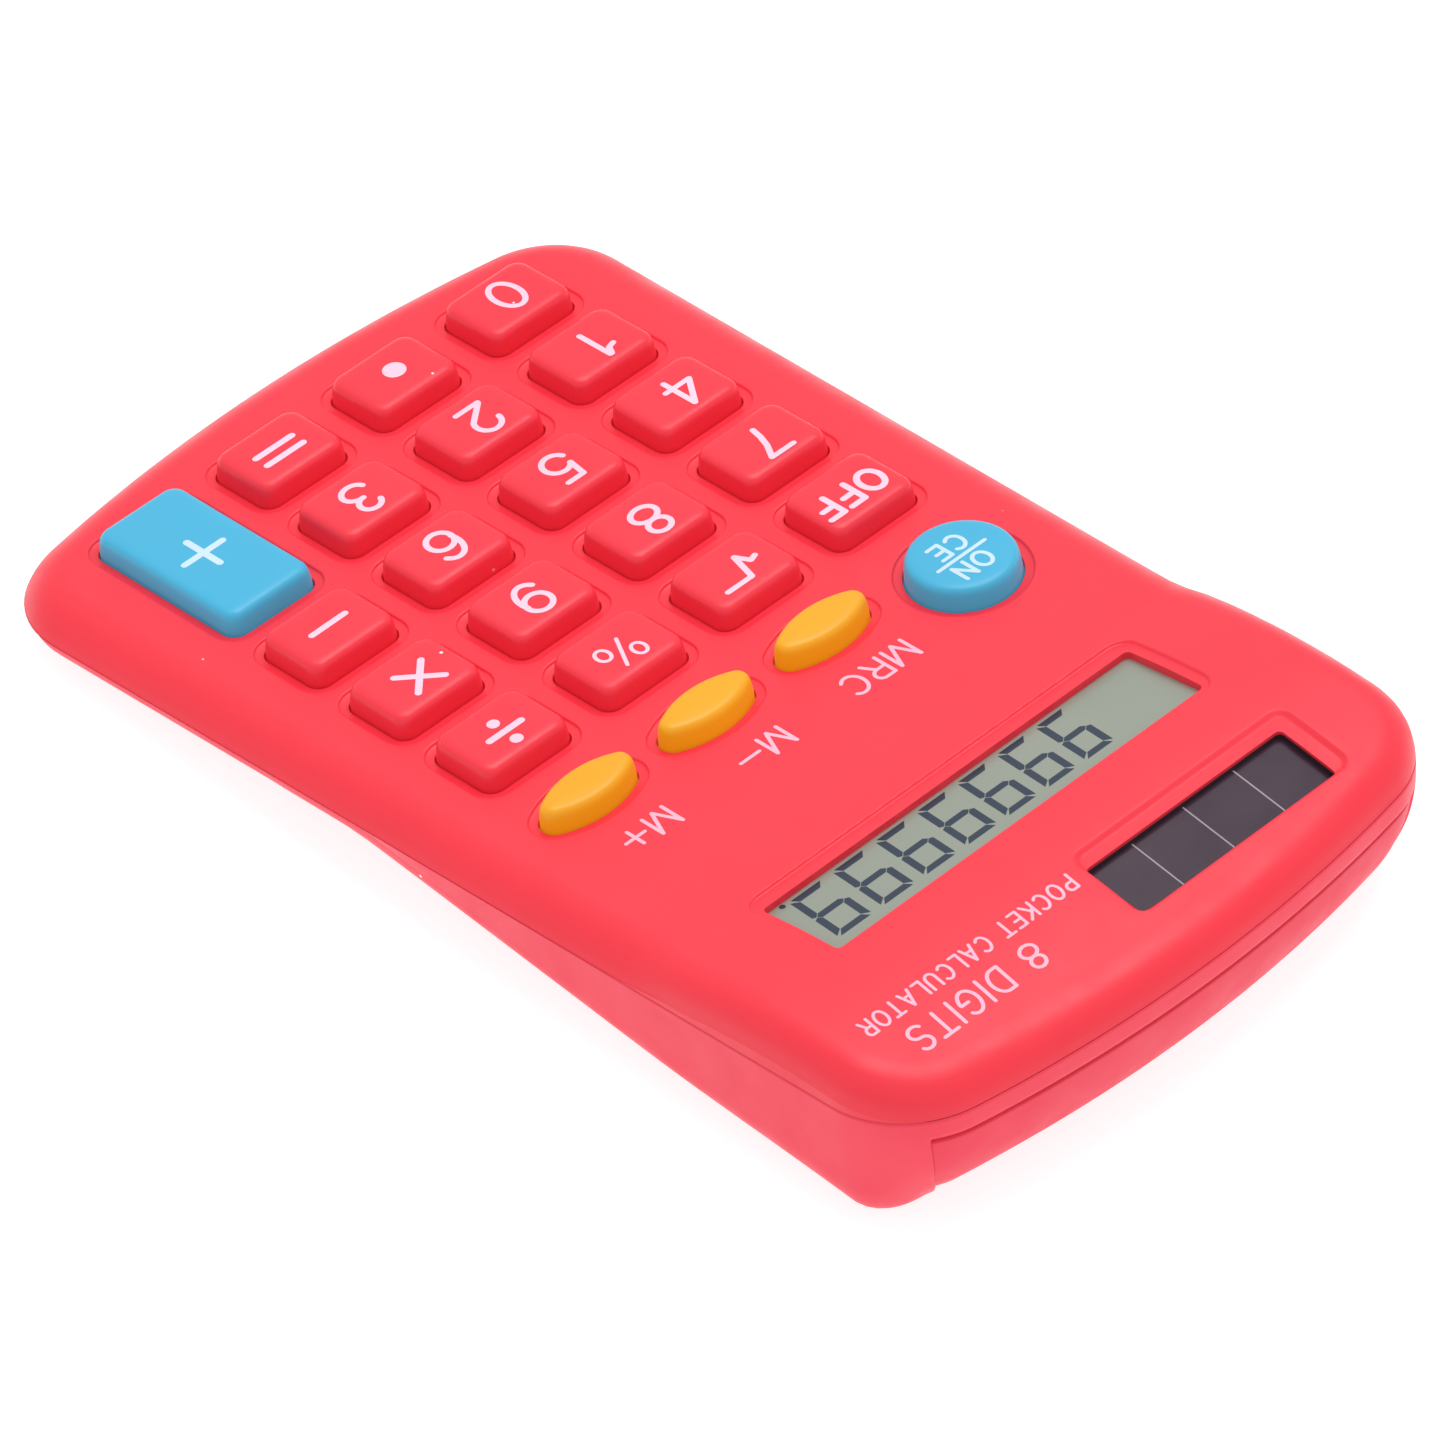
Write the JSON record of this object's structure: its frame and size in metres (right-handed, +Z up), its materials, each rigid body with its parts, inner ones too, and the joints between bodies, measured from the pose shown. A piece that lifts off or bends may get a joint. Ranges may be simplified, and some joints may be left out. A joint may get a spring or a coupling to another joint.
{
  "type": "desk calculator",
  "caption": "Pocket-size four-function calculator with moulded keys, a numeric display, a solar window and a sliding battery door at the display end.",
  "frame": {"origin": "centre of the footprint, on the table", "axes": "+X to the user's right, +Y from the keypad towards the display end, +Z up"},
  "size_m": [0.0698, 0.1214, 0.0178],
  "materials": {
    "shell_red": "satin moulded plastic",
    "door_red": "satin moulded plastic",
    "key_red": "satin moulded plastic with printed legends",
    "key_blue": "satin moulded plastic with printed legends",
    "key_orange": "satin moulded plastic",
    "membrane_rubber": "soft translucent rubber",
    "carbon_rubber": "black conductive rubber",
    "board_laminate": "solder-masked laminate",
    "resin_black": "cured resin",
    "capacitor_sleeve": "plastic sleeve",
    "display_glass": "grey liquid crystal behind glass",
    "zebra_rubber": "layered conductive rubber",
    "solar_glass": "dark amorphous silicon behind glass",
    "lead_insulation": "wire insulation",
    "cell_can": "bare battery can",
    "contact_metal": "plated spring steel",
    "screw_steel": "plated steel"
  },
  "bodies": {
    "case": {"upper_shell": "shell_red", "lower_shell": "shell_red", "key_membrane": "membrane_rubber", "contact_pills": "carbon_rubber", "circuit_board": "board_laminate", "chip_cover": "resin_black", "capacitor": "capacitor_sleeve", "lcd_cell": "display_glass", "zebra_strip": "zebra_rubber", "solar_cell": "solar_glass", "solar_leads": "lead_insulation", "battery_cell": "cell_can", "plus_contact": "contact_metal", "minus_contact": "contact_metal", "battery_spring": "contact_metal", "battery_leads": "lead_insulation", "case_screws": "screw_steel", "board_screws": "screw_steel"},
    "door": {"battery_door": "door_red"},
    "key_0": {"key_0": "key_red"},
    "key_1": {"key_1": "key_red"},
    "key_2": {"key_2": "key_red"},
    "key_3": {"key_3": "key_red"},
    "key_4": {"key_4": "key_red"},
    "key_5": {"key_5": "key_red"},
    "key_6": {"key_6": "key_red"},
    "key_7": {"key_7": "key_red"},
    "key_8": {"key_8": "key_red"},
    "key_9": {"key_9": "key_red"},
    "key_point": {"key_point": "key_red"},
    "key_equals": {"key_equals": "key_red"},
    "key_minus": {"key_minus": "key_red"},
    "key_times": {"key_times": "key_red"},
    "key_divide": {"key_divide": "key_red"},
    "key_percent": {"key_percent": "key_red"},
    "key_root": {"key_root": "key_red"},
    "key_off": {"key_off": "key_red"},
    "key_plus": {"key_plus": "key_blue"},
    "key_on": {"key_on": "key_blue"},
    "key_m_recall": {"key_m_recall": "key_orange"},
    "key_m_minus": {"key_m_minus": "key_orange"},
    "key_m_plus": {"key_m_plus": "key_orange"}
  },
  "joints": [
    {"name": "press_0", "type": "slide", "parent": "case", "child": "key_0", "axis": [0, 0.0993, -0.9951], "range_m": [0, 0.0008], "stiffness_N_per_m": 400, "springref_m": -0.0004},
    {"name": "press_1", "type": "slide", "parent": "case", "child": "key_1", "axis": [0, 0.0993, -0.9951], "range_m": [0, 0.0008], "stiffness_N_per_m": 400, "springref_m": -0.0004},
    {"name": "press_2", "type": "slide", "parent": "case", "child": "key_2", "axis": [0, 0.0993, -0.9951], "range_m": [0, 0.0008], "stiffness_N_per_m": 400, "springref_m": -0.0004},
    {"name": "press_3", "type": "slide", "parent": "case", "child": "key_3", "axis": [0, 0.0993, -0.9951], "range_m": [0, 0.0008], "stiffness_N_per_m": 400, "springref_m": -0.0004},
    {"name": "press_4", "type": "slide", "parent": "case", "child": "key_4", "axis": [0, 0.0993, -0.9951], "range_m": [0, 0.0008], "stiffness_N_per_m": 400, "springref_m": -0.0004},
    {"name": "press_5", "type": "slide", "parent": "case", "child": "key_5", "axis": [0, 0.0993, -0.9951], "range_m": [0, 0.0008], "stiffness_N_per_m": 400, "springref_m": -0.0004},
    {"name": "press_6", "type": "slide", "parent": "case", "child": "key_6", "axis": [0, 0.0993, -0.9951], "range_m": [0, 0.0008], "stiffness_N_per_m": 400, "springref_m": -0.0004},
    {"name": "press_7", "type": "slide", "parent": "case", "child": "key_7", "axis": [0, 0.0993, -0.9951], "range_m": [0, 0.0008], "stiffness_N_per_m": 400, "springref_m": -0.0004},
    {"name": "press_8", "type": "slide", "parent": "case", "child": "key_8", "axis": [0, 0.0993, -0.9951], "range_m": [0, 0.0008], "stiffness_N_per_m": 400, "springref_m": -0.0004},
    {"name": "press_9", "type": "slide", "parent": "case", "child": "key_9", "axis": [0, 0.0993, -0.9951], "range_m": [0, 0.0008], "stiffness_N_per_m": 400, "springref_m": -0.0004},
    {"name": "press_point", "type": "slide", "parent": "case", "child": "key_point", "axis": [0, 0.0993, -0.9951], "range_m": [0, 0.0008], "stiffness_N_per_m": 400, "springref_m": -0.0004},
    {"name": "press_equals", "type": "slide", "parent": "case", "child": "key_equals", "axis": [0, 0.0993, -0.9951], "range_m": [0, 0.0008], "stiffness_N_per_m": 400, "springref_m": -0.0004},
    {"name": "press_minus", "type": "slide", "parent": "case", "child": "key_minus", "axis": [0, 0.0993, -0.9951], "range_m": [0, 0.0008], "stiffness_N_per_m": 400, "springref_m": -0.0004},
    {"name": "press_times", "type": "slide", "parent": "case", "child": "key_times", "axis": [0, 0.0993, -0.9951], "range_m": [0, 0.0008], "stiffness_N_per_m": 400, "springref_m": -0.0004},
    {"name": "press_divide", "type": "slide", "parent": "case", "child": "key_divide", "axis": [0, 0.0993, -0.9951], "range_m": [0, 0.0008], "stiffness_N_per_m": 400, "springref_m": -0.0004},
    {"name": "press_percent", "type": "slide", "parent": "case", "child": "key_percent", "axis": [0, 0.0993, -0.9951], "range_m": [0, 0.0008], "stiffness_N_per_m": 400, "springref_m": -0.0004},
    {"name": "press_root", "type": "slide", "parent": "case", "child": "key_root", "axis": [0, 0.0993, -0.9951], "range_m": [0, 0.0008], "stiffness_N_per_m": 400, "springref_m": -0.0004},
    {"name": "press_off", "type": "slide", "parent": "case", "child": "key_off", "axis": [0, 0.0993, -0.9951], "range_m": [0, 0.0008], "stiffness_N_per_m": 400, "springref_m": -0.0004},
    {"name": "press_plus", "type": "slide", "parent": "case", "child": "key_plus", "axis": [0, 0.0993, -0.9951], "range_m": [0, 0.0008], "stiffness_N_per_m": 400, "springref_m": -0.0004},
    {"name": "press_on", "type": "slide", "parent": "case", "child": "key_on", "axis": [0, 0.0993, -0.9951], "range_m": [0, 0.0008], "stiffness_N_per_m": 400, "springref_m": -0.0004},
    {"name": "press_m_recall", "type": "slide", "parent": "case", "child": "key_m_recall", "axis": [0, 0.0993, -0.9951], "range_m": [0, 0.0008], "stiffness_N_per_m": 400, "springref_m": -0.0004},
    {"name": "press_m_minus", "type": "slide", "parent": "case", "child": "key_m_minus", "axis": [0, 0.0993, -0.9951], "range_m": [0, 0.0008], "stiffness_N_per_m": 400, "springref_m": -0.0004},
    {"name": "press_m_plus", "type": "slide", "parent": "case", "child": "key_m_plus", "axis": [0, 0.0993, -0.9951], "range_m": [0, 0.0008], "stiffness_N_per_m": 400, "springref_m": -0.0004},
    {"name": "door_slide", "type": "slide", "parent": "case", "child": "door", "axis": [0, 0.9974, -0.0715], "range_m": [0, 0.012]}
  ]
}
